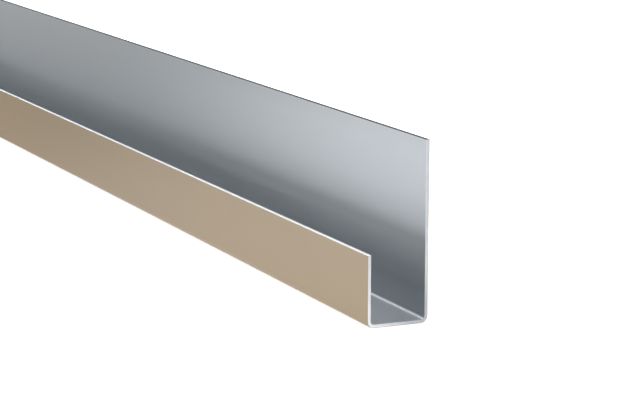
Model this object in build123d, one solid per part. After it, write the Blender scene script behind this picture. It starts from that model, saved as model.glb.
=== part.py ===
from build123d import *
import os

# J-trim: one strip of thin sheet aluminium, folded twice along its length.
# The tall back leg lies against the wall, the web spans the edge of a board, and the short
# front leg covers the rim of the board's face.
# Frame: +X along the trim, +Y from the front leg to the back leg, +Z up.
# Origin: on the underside of the web, at the middle of its width and of the trim's length.
# All sizes are in millimetres.

# Sizes of the folded strip, over its outer faces
length = 2440.0
web_width = 18.0
back_height = 50.0
front_height = 20.0
sheet = 1.0
inside_radius = 1.0

# Rounding that the saw leaves on the outer face at each end, and the slitter along the legs' tops
sawn_round = 0.25
slit_round = 0.1

# Where the outer faces of the two legs stand
front_face = -web_width / 2
back_face = web_width / 2


def face_line(inset):
    """The line across the trim that one face of the strip follows, inset from the outer face."""
    front = front_face + inset
    back = back_face - inset
    return FilletPolyline(
        (front, front_height),
        (front, inset),
        (back, inset),
        (back, back_height),
        radius=inside_radius + sheet - inset,
    )


def folded_section():
    """The J across the trim, between the lines of the strip's outer and inner faces."""
    outer = face_line(0)
    inner = face_line(sheet)
    front_rim = Line(outer @ 0, inner @ 0)
    back_rim = Line(outer @ 1, inner @ 1)
    return Plane.YZ * make_face(outer + inner + front_rim + back_rim)


def sawn_edges(trim):
    """The edges round the outer face at both ends, from the top of one leg to the other's."""
    outer = Plane.YZ * face_line(0)
    across = trim.faces().sort_by(Axis.X)
    edges = []
    for end in (across[0], across[-1]):
        outer_here = Pos(X=end.center().X) * outer
        nearest = sorted(end.edges(), key=lambda edge: outer_here.distance_to(edge @ 0.5))
        edges += nearest[: len(outer.edges())]
    return edges


def slit_edges(trim):
    """The four long edges along the tops of the two legs."""
    long_edges = trim.edges().filter_by(Axis.X)
    front_leg = long_edges.filter_by(lambda edge: edge.center().Y < 0)
    back_leg = long_edges.filter_by(lambda edge: edge.center().Y > 0)
    return front_leg.group_by(Axis.Z)[-1] + back_leg.group_by(Axis.Z)[-1]


def j_trim():
    """The whole trim: the section drawn out to its length, with its cut edges eased."""
    trim = extrude(folded_section(), amount=length / 2, both=True)
    trim = fillet(sawn_edges(trim), sawn_round)
    return fillet(slit_edges(trim), slit_round)


os.makedirs("parts", exist_ok=True)
export_step(j_trim(), "parts/j_trim.step")
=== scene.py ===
import math

import bmesh
import bpy
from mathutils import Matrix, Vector


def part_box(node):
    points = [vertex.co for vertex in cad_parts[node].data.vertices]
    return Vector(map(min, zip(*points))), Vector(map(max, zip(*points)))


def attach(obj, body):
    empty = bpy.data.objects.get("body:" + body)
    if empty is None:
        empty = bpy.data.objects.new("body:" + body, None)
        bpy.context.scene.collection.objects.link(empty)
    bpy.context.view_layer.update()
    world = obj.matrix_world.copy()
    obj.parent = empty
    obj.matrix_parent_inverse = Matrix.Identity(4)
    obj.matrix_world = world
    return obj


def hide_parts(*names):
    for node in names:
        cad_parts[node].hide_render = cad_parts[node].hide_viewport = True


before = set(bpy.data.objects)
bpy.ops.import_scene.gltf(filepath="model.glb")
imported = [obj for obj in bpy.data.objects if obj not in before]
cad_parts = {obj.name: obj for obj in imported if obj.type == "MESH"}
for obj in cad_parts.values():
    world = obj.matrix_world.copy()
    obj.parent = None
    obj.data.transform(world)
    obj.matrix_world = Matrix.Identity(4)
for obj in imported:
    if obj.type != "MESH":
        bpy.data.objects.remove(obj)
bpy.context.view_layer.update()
low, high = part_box("j_trim")
nearEnd = high.x
frontTop = max(vert.co.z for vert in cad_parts["j_trim"].data.vertices if vert.co.y < 0)
print("frame: trim of", [round(side * 1000, 1) for side in high - low], "mm")


# Small helpers for the node trees

def newMaterial(name):
    material = bpy.data.materials.new(name)
    material.use_nodes = True
    nodes, links = material.node_tree.nodes, material.node_tree.links
    return material, nodes, links, nodes["Principled BSDF"]


def stretched(nodes, links, scale):
    # object coordinates, scaled per metre along X, Y and Z
    coords = nodes.new("ShaderNodeTexCoord")
    mapping = nodes.new("ShaderNodeMapping")
    mapping.inputs["Scale"].default_value = scale
    links.new(coords.outputs["Object"], mapping.inputs["Vector"])
    return mapping.outputs["Vector"]


def noise(nodes, links, scale, detail):
    texture = nodes.new("ShaderNodeTexNoise")
    texture.inputs["Scale"].default_value = 1.0
    texture.inputs["Detail"].default_value = detail
    links.new(stretched(nodes, links, scale), texture.inputs["Vector"])
    return texture.outputs["Fac"]


noiseMiddle = (0.3, 0.7)  # the part of a noise that goes from one end of a finish to the other


def spread(nodes, links, factor, lowest, highest):
    # the middle of a noise, spread over a range of values
    remap = nodes.new("ShaderNodeMapRange")
    remap.inputs["From Min"].default_value, remap.inputs["From Max"].default_value = noiseMiddle
    remap.inputs["To Min"].default_value = lowest
    remap.inputs["To Max"].default_value = highest
    links.new(factor, remap.inputs["Value"])
    return remap.outputs["Result"]


def twoColours(nodes, links, factor, darker, lighter):
    ramp = nodes.new("ShaderNodeValToRGB")
    stops = ramp.color_ramp.elements
    for stop, position, colour in zip(stops, noiseMiddle, (darker, lighter)):
        stop.position = position
        stop.color = (*colour, 1)
    links.new(factor, ramp.inputs["Fac"])
    return ramp.outputs["Color"]


def bump(nodes, links, height, distance, shader):
    node = nodes.new("ShaderNodeBump")
    node.inputs["Distance"].default_value = distance
    links.new(height, node.inputs["Height"])
    links.new(node.outputs["Normal"], shader.inputs["Normal"])


# the axes along which roundPoint measures
everyWay = (1.0, 1.0, 1.0)
acrossTrim = (0.0, 1.0, 1.0)


def roundPoint(nodes, links, scale, centre, values, distances):
    # one value near a point and another away from it, and between what distances it changes
    distance = nodes.new("ShaderNodeVectorMath")
    distance.operation = "DISTANCE"
    distance.inputs[1].default_value = centre
    links.new(stretched(nodes, links, scale), distance.inputs[0])
    change = nodes.new("ShaderNodeMapRange")
    change.interpolation_type = "SMOOTHSTEP"
    change.inputs["From Min"].default_value, change.inputs["From Max"].default_value = distances
    change.inputs["To Min"].default_value, change.inputs["To Max"].default_value = values
    links.new(distance.outputs["Value"], change.inputs["Value"])
    return change.outputs["Result"]


# Finishes of the strip. A pattern's values are its scale along X, Y and Z, and its detail.

bakedPaint = {
    "darker": (0.490, 0.375, 0.241),
    "lighter": (0.514, 0.393, 0.255),
    "clouds": ((3.0, 14.0, 14.0), 3.0),
    "roughness": (0.40, 0.47),
    "gloss": 0.35,
    "peel": ((620.0, 620.0, 620.0), 1.0),
    "peelDepth": 0.000012,
}


def beigePaint():
    material, nodes, links, shader = newMaterial("bakedBeigePaint")
    clouds = noise(nodes, links, *bakedPaint["clouds"])
    colour = twoColours(nodes, links, clouds, bakedPaint["darker"], bakedPaint["lighter"])
    links.new(colour, shader.inputs["Base Color"])
    links.new(spread(nodes, links, clouds, *bakedPaint["roughness"]), shader.inputs["Roughness"])
    shader.inputs["Specular IOR Level"].default_value = bakedPaint["gloss"]
    peel = noise(nodes, links, *bakedPaint["peel"])
    bump(nodes, links, peel, bakedPaint["peelDepth"], shader)
    return material


rolledMetal = {
    "darker": (0.395, 0.425, 0.449),
    "lighter": (0.413, 0.443, 0.468),
    "streaks": ((1.5, 240.0, 240.0), 3.0),
    "roughness": (0.39, 0.45),
    "spreadAcross": 0.7,
    "grain": ((18.0, 1500.0, 1500.0), 2.0),
    "grainDepth": 0.000010,
}


def bareMetal():
    material, nodes, links, shader = newMaterial("rolledAluminium")
    shader.inputs["Metallic"].default_value = 1.0
    streaks = noise(nodes, links, *rolledMetal["streaks"])
    colour = twoColours(nodes, links, streaks, rolledMetal["darker"], rolledMetal["lighter"])
    links.new(colour, shader.inputs["Base Color"])
    links.new(spread(nodes, links, streaks, *rolledMetal["roughness"]), shader.inputs["Roughness"])
    shader.inputs["Anisotropic"].default_value = rolledMetal["spreadAcross"]
    across = nodes.new("ShaderNodeTangent")  # the rolling runs along X, so gloss spreads across it
    across.direction_type = "RADIAL"
    across.axis = "X"
    links.new(across.outputs["Tangent"], shader.inputs["Tangent"])
    grain = noise(nodes, links, *rolledMetal["grain"])
    bump(nodes, links, grain, rolledMetal["grainDepth"], shader)
    return material


cutEdge = {
    # darker colour, lighter colour and roughness
    "sawn": ((0.70, 0.71, 0.73), (0.78, 0.79, 0.81), 0.45),
    "slitFront": ((0.90, 0.90, 0.90), (0.95, 0.95, 0.95), 0.40),
    "lines": ((40.0, 2600.0, 300.0), 2.0),
    "lineDepth": 0.000008,
    # painted shade: the sawn end is drawn darker towards the outside of the back fold, standing in
    # for shade there; from where, how much and how far
    "foldShade": ((0.0, high.y, low.z), (0.60, 1.0), (0.002, 0.020)),
}


# painted shade: scales the sawn end's colour down towards the back fold
def paintedShadeAtFold(nodes, links, colour):
    shade = nodes.new("ShaderNodeVectorMath")
    shade.operation = "SCALE"
    links.new(colour, shade.inputs[0])
    links.new(roundPoint(nodes, links, acrossTrim, *cutEdge["foldShade"]), shade.inputs["Scale"])
    return shade.outputs["Vector"]


def cutMetal(name):
    darker, lighter, roughness = cutEdge[name]
    material, nodes, links, shader = newMaterial(name + "Edge")
    shader.inputs["Metallic"].default_value = 1.0
    shader.inputs["Roughness"].default_value = roughness
    lines = noise(nodes, links, *cutEdge["lines"])
    colour = twoColours(nodes, links, lines, darker, lighter)
    # the sawn end gets its painted shade towards the back fold
    if name == "sawn":
        colour = paintedShadeAtFold(nodes, links, colour)
    links.new(colour, shader.inputs["Base Color"])
    bump(nodes, links, lines, cutEdge["lineDepth"], shader)
    return material


# painted shade: the back leg's slit top is coloured near black to stand in for shade
shadedSlitEdge = {
    "darker": (0.060, 0.062, 0.066),
    "lighter": (0.090, 0.093, 0.098),
    "blotches": ((60.0, 400.0, 400.0), 3.0),
    "roughness": 0.85,
    "gloss": 0.1,
}


def paintedShadeSlit():
    # the slit top of the back leg, painted near black as shade: a dark finish standing in for the
    # shade and dark reflection it shows
    material, nodes, links, shader = newMaterial("shadedBackSlitEdge")
    shader.inputs["Roughness"].default_value = shadedSlitEdge["roughness"]
    shader.inputs["Specular IOR Level"].default_value = shadedSlitEdge["gloss"]
    blotches = noise(nodes, links, *shadedSlitEdge["blotches"])
    colour = twoColours(nodes, links, blotches, shadedSlitEdge["darker"], shadedSlitEdge["lighter"])
    links.new(colour, shader.inputs["Base Color"])
    return material


# The folded strip: one closed mesh, drawn from its outer line

strip = {
    "sheet": 0.001,
    "foldRadius": 0.002,
    "foldSteps": 14,
    "sawnRound": 0.00025,
    "slitRound": 0.0001,
    "roundSteps": 3,
    "flatWeight": 95,
    # in degrees: how far the paint goes round the sawn edges, how far two faces turn at an edge
    # that is rounded, and how far from straight up a face may point and still face up
    "paintTurn": 60,
    "sharpTurn": 60,
    "upTurn": 60,
    # for putInOrder: how finely the points are rounded, and how X, Y and Z count in the order
    "decimals": 8,
    "orderAlong": (100.0, 10.0, 1.0),
}


def outerSheet(bm):
    # the outer line of the J, folded at its two lower corners and drawn along the length
    corners = [(low.y, frontTop), (low.y, low.z), (high.y, low.z), (high.y, high.z)]
    line = [bm.verts.new((low.x, y, z)) for y, z in corners]
    for start, end in zip(line, line[1:]):
        bm.edges.new((start, end))
    bmesh.ops.bevel(
        bm, geom=line[1:3], offset=strip["foldRadius"], offset_type="OFFSET",
        segments=strip["foldSteps"], profile=0.5, affect="VERTICES", material=-1,
    )
    drawn = bmesh.ops.extrude_edge_only(bm, edges=bm.edges[:])
    moved = [part for part in drawn["geom"] if isinstance(part, bmesh.types.BMVert)]
    bmesh.ops.translate(bm, verts=moved, vec=(high.x - low.x, 0, 0))
    bmesh.ops.recalc_face_normals(bm, faces=bm.faces[:])
    web = min(bm.faces, key=lambda face: face.calc_center_median().z)
    if web.normal.z > 0:
        bmesh.ops.reverse_faces(bm, faces=bm.faces[:])


def facesUp(normal):
    return normal.z > math.cos(math.radians(strip["upTurn"]))


def facesOut(centre, normal):
    # whether a face of the strip points away from the pocket between the legs
    inwards = Vector((0, -centre.y, frontTop / 2 - centre.z))
    nearestTop = min(abs(centre.z - top) for top in (frontTop, high.z))
    isLevelTop = facesUp(normal) and nearestTop < strip["slitRound"]
    isEnd = abs(normal.x) > math.sin(math.radians(strip["paintTurn"]))
    return not isEnd and not isLevelTop and normal.dot(inwards) < 0


def markRoundings(bm):
    # the share of the widest rounding that the Bevel modifier gives each cut edge
    share = bm.edges.layers.float.new("bevel_weight_edge")
    for edge in bm.edges:
        if edge.calc_face_angle() < math.radians(strip["sharpTurn"]):
            continue
        isSawn = abs(edge.verts[0].co.x - edge.verts[1].co.x) < strip["sheet"]
        isOuter = any(facesOut(face.calc_center_median(), face.normal) for face in edge.link_faces)
        rounding = "sawnRound" if isSawn and isOuter else "slitRound"
        edge[share] = strip[rounding] / strip["sawnRound"]


def finishOf(face):
    # the finish that a face of the rounded strip wears
    centre, normal = face.center, face.normal
    legTop, slit = (frontTop, "slitFront") if centre.y < 0 else (high.z, "slitBack")
    isOnTop = centre.z > legTop - strip["slitRound"]
    isByEnd = low.x + strip["sawnRound"] > centre.x or centre.x > high.x - strip["sawnRound"]
    if isByEnd and not facesOut(centre, normal) and not (isOnTop and facesUp(normal)):
        return "sawn"
    if isOnTop:
        return slit
    return "paint" if facesOut(centre, normal) else "metal"


def putInOrder(bm):
    # the operators leave another order and other last digits each run, and the Bevel modifier's
    # corners follow them, so both are settled here
    for vert in bm.verts:
        vert.co = [round(side, strip["decimals"]) for side in vert.co]
    order = Vector(strip["orderAlong"])
    bm.verts.sort(key=lambda vert: order.dot(vert.co))
    bm.edges.sort(key=lambda edge: order.dot(edge.verts[0].co + edge.verts[1].co))
    bm.faces.sort(key=lambda face: order.dot(face.calc_center_median()))


def foldedStrip():
    bm = bmesh.new()
    outerSheet(bm)
    bmesh.ops.solidify(bm, geom=bm.faces[:], thickness=strip["sheet"])
    markRoundings(bm)
    putInOrder(bm)
    for face in bm.faces:
        face.smooth = True
    mesh = bpy.data.meshes.new("foldedStrip")
    bm.to_mesh(mesh)
    bm.free()
    for edge in mesh.edges:
        edge.vertices = sorted(edge.vertices)
    piece = bpy.data.objects.new("folded_strip", mesh)
    bpy.context.scene.collection.objects.link(piece)
    rounding = piece.modifiers.new("cutEdges", "BEVEL")
    rounding.limit_method = "WEIGHT"
    rounding.width = strip["sawnRound"]
    rounding.segments = strip["roundSteps"]
    level = piece.modifiers.new("levelFaces", "WEIGHTED_NORMAL")  # keeps the legs and the web flat
    level.weight = strip["flatWeight"]
    ready = piece.evaluated_get(bpy.context.evaluated_depsgraph_get())
    piece.data = bpy.data.meshes.new_from_object(ready)
    piece.modifiers.clear()
    finishes = {
        "paint": beigePaint(),
        "metal": bareMetal(),
        "sawn": cutMetal("sawn"),
        "slitFront": cutMetal("slitFront"),
        # the back leg's slit top wears the painted shade
        "slitBack": paintedShadeSlit(),
    }
    slots = list(finishes)
    for name in slots:
        piece.data.materials.append(finishes[name])
    for face in piece.data.polygons:
        face.material_index = slots.index(finishOf(face))
    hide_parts("j_trim")
    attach(piece, "root")
    return piece


trim = foldedStrip()
print("strip:", len(trim.data.polygons), "faces")


# The stage

stage = {
    "floorColour": (0.90, 0.90, 0.90),
    "floorSide": 60.0,
    "floorDrop": 0.0001,
    "floorWhite": 0.82,  # the floor's own white, for the camera
    # the floor's white in gloss, by the near end and far out: a point, the strength near it and
    # away from it, and the distances between which it changes
    "nearEndGlow": ((nearEnd - 0.14, -0.10, 0.0), (1.0, 0.0), (0.06, 0.30)),
    "outerGlow": ((nearEnd - 0.40, -0.20, 0.0), (0.0, 0.8), (0.50, 1.20)),
    "ambient": 0.12,
}


def joined(nodes, links, operation, first, second):
    node = nodes.new("ShaderNodeMath")
    node.operation = operation
    links.new(first, node.inputs[0])
    links.new(second, node.inputs[1])
    return node.outputs[0]


def glossRays(nodes, links, path):
    return joined(
        nodes, links, "MAXIMUM", path.outputs["Is Glossy Ray"], path.outputs["Is Transmission Ray"],
    )


def floorGlow(nodes, links):
    path = nodes.new("ShaderNodeLightPath")
    toCamera = nodes.new("ShaderNodeMapRange")
    toCamera.inputs["To Max"].default_value = stage["floorWhite"]
    links.new(path.outputs["Is Camera Ray"], toCamera.inputs["Value"])
    nearGlow = roundPoint(nodes, links, everyWay, *stage["nearEndGlow"])
    outerGlow = roundPoint(nodes, links, everyWay, *stage["outerGlow"])
    both = joined(nodes, links, "MAXIMUM", nearGlow, outerGlow)
    inGloss = joined(nodes, links, "MULTIPLY", both, glossRays(nodes, links, path))
    seen = joined(nodes, links, "MAXIMUM", toCamera.outputs["Result"], inGloss)
    glow = nodes.new("ShaderNodeEmission")
    links.new(seen, glow.inputs["Strength"])
    return glow.outputs["Emission"]


def paleFloor():
    bm = bmesh.new()
    bmesh.ops.create_grid(bm, x_segments=1, y_segments=1, size=stage["floorSide"] / 2)
    bmesh.ops.translate(bm, verts=bm.verts[:], vec=(0, 0, low.z - stage["floorDrop"]))
    mesh = bpy.data.meshes.new("floor")
    bm.to_mesh(mesh)
    bm.free()
    floor = bpy.data.objects.new("floor", mesh)
    bpy.context.scene.collection.objects.link(floor)
    material, nodes, links, shader = newMaterial("paleFloor")
    nodes.remove(shader)
    diffuse = nodes.new("ShaderNodeBsdfDiffuse")
    diffuse.inputs["Color"].default_value = (*stage["floorColour"], 1)
    both = nodes.new("ShaderNodeAddShader")
    links.new(diffuse.outputs["BSDF"], both.inputs[0])
    links.new(floorGlow(nodes, links), both.inputs[1])
    links.new(both.outputs[0], nodes["Material Output"].inputs["Surface"])
    mesh.materials.append(material)


def whiteWorld():
    world = bpy.data.worlds.new("studio")
    world.use_nodes = True
    bpy.context.scene.world = world
    nodes, links = world.node_tree.nodes, world.node_tree.links
    light = nodes["Background"]
    light.inputs["Color"].default_value = (1, 1, 1, 1)
    path = nodes.new("ShaderNodeLightPath")
    inGloss = glossRays(nodes, links, path)
    seen = joined(nodes, links, "MAXIMUM", path.outputs["Is Camera Ray"], inGloss)
    strength = nodes.new("ShaderNodeMapRange")
    strength.inputs["To Min"].default_value = stage["ambient"]
    links.new(seen, strength.inputs["Value"])
    links.new(strength.outputs["Result"], light.inputs["Strength"])


softboxes = {
    "key": {  # above the near end
        "place": (nearEnd + 0.12, -0.17, 0.32), "aim": (nearEnd - 0.10, 0.0, 0.02),
        "size": (0.3, 0.3), "watts": 0.90, "spread": 180,
    },
    "kick": {  # low, for a little gloss on the metal by the near end
        "place": (nearEnd - 0.35, -0.20, 0.12), "aim": (nearEnd + 0.05, 0.0, 0.03),
        "size": (0.1, 0.1), "watts": 0.0125, "spread": 60,
    },
    "channel": {  # from above the far end, into the channel
        "place": (-1.4, -0.35, 1.0), "aim": (nearEnd - 0.15, 0.0, 0.02),
        "size": (0.4, 0.4), "watts": 0.24, "spread": 40,
    },
    "backdrop": {  # the floor behind the near end
        "place": (nearEnd - 0.35, 0.65, 0.42), "aim": (nearEnd - 0.35, 0.25, 0.0),
        "size": (0.8, 0.4), "watts": 1.1, "spread": 180,
    },
    "overhead": {  # the whole trim and the floor
        "place": (0.0, 0.0, 2.0), "aim": (0.0, 0.0, 0.0),
        "size": (3.0, 1.5), "watts": 9.9, "spread": 180,
    },
    "alongFront": {  # the front paint
        "place": (-0.3, -0.6, 0.08), "aim": (-0.3, 0.0, 0.02),
        "size": (1.9, 0.1), "watts": 1.4, "spread": 70, "inGloss": False,
    },
    "frontGap": {  # the front paint between the key and alongFront
        "place": (0.72, -0.6, 0.08), "aim": (0.8, 0.0, 0.02),
        "size": (0.3, 0.1), "watts": 0.045, "spread": 40, "inGloss": False,
    },
    "alongBack": {  # the back's paint
        "place": (0.0, 0.5, 0.2), "aim": (0.0, 0.0, 0.02),
        "size": (2.4, 0.2), "watts": 1.32, "spread": 90,
    },
}


def hangSoftbox(name, box):
    light = bpy.data.lights.new(name, "AREA")
    light.shape = "RECTANGLE"
    light.size, light.size_y = box["size"]
    light.energy = box["watts"]
    light.spread = math.radians(box["spread"])
    lamp = bpy.data.objects.new(name, light)
    lamp.location = box["place"]
    away = Vector(box["place"]) - Vector(box["aim"])
    lamp.rotation_euler = away.to_track_quat("Z", "Y").to_euler()
    lamp.visible_camera = False
    lamp.visible_glossy = box.get("inGloss", True)
    bpy.context.scene.collection.objects.link(lamp)


paleFloor()
whiteWorld()
for name, box in softboxes.items():
    hangSoftbox(name, box)
print("stage: floor, world and", len(softboxes), "softboxes")


# The camera, at the photograph's place: in front of the near end and a little above it

cameraPlace = {
    "beyondEnd": 0.53168,
    "inFront": 0.26421,
    "above": 0.14740,
    "tilt": 79.197,
    "roll": -0.243,
    "heading": 65.641,
    "lens": 128.41,
    "clip": (0.01, 100.0),
}


def photoCamera():
    data = bpy.data.cameras.new("photoCamera")
    data.lens = cameraPlace["lens"]
    data.clip_start, data.clip_end = cameraPlace["clip"]
    camera = bpy.data.objects.new("photoCamera", data)
    camera.location = (
        nearEnd + cameraPlace["beyondEnd"], -cameraPlace["inFront"], low.z + cameraPlace["above"],
    )
    turns = (cameraPlace["tilt"], cameraPlace["roll"], cameraPlace["heading"])
    camera.rotation_euler = [math.radians(turn) for turn in turns]
    bpy.context.scene.collection.objects.link(camera)
    bpy.context.scene.camera = camera


photoCamera()
bpy.context.scene.view_settings.view_transform = "Standard"
